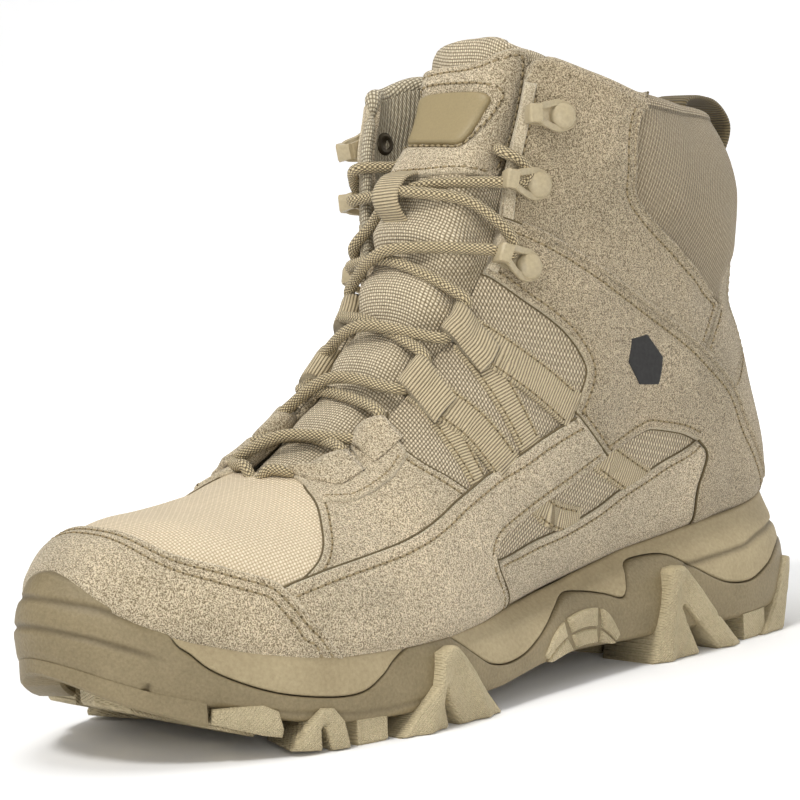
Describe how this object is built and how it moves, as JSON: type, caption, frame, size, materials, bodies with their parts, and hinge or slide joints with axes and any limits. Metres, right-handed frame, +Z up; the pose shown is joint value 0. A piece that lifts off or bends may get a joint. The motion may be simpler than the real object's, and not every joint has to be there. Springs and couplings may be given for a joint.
{
  "type": "lace-up combat boot",
  "caption": "Mid-height lace-up combat boot for the left foot, with a hollow suede and fabric upper, padded tongue, speed hooks and a clawed rubber sole.",
  "frame": {"origin": "middle of the footprint's bounding box, on the plane the sole stands on", "axes": "+Z up, -Y towards the toe, +Y towards the heel, +X towards the outer side of the left foot"},
  "size_m": [0.1052, 0.2862, 0.1941],
  "materials": {
    "suede": "sand-coloured rough suede",
    "nylon_fabric": "woven nylon, sand",
    "webbing": "ribbed webbing, sand",
    "lace": "round braided lace, sand",
    "lining": "knitted lining, brown sand",
    "midsole_foam": "moulded foam, fine grain",
    "outsole_rubber": "moulded rubber, matt, fine knurl",
    "badge_rubber": "soft rubber plate, bare",
    "hook_metal": "painted steel, satin"
  },
  "bodies": {
    "root": {"outsole": "outsole_rubber", "midsole": "midsole_foam", "insole": "lining", "upper": "suede", "tongue": "nylon_fabric", "tongue_badge": "badge_rubber", "tongue_lace_keeper": "webbing", "heel_pull_loop": "webbing", "lace_bar": "lace", "lace_tab_low_outer": "suede", "webbing_loop_low_outer": "webbing", "lace_tab_low_inner": "suede", "webbing_loop_low_inner": "webbing", "lace_tab_high_outer": "suede", "webbing_loop_high_outer": "webbing", "lace_tab_high_inner": "suede", "webbing_loop_high_inner": "webbing", "speed_hook_outer_1": "hook_metal", "speed_hook_inner_1": "hook_metal", "speed_hook_outer_2": "hook_metal", "speed_hook_inner_2": "hook_metal", "speed_hook_outer_3": "hook_metal", "speed_hook_inner_3": "hook_metal", "lace_crossing_1": "lace", "lace_crossing_2": "lace", "lace_crossing_3": "lace", "lace_crossing_4": "lace", "lace_crossing_5": "lace"}
  },
  "joints": []
}
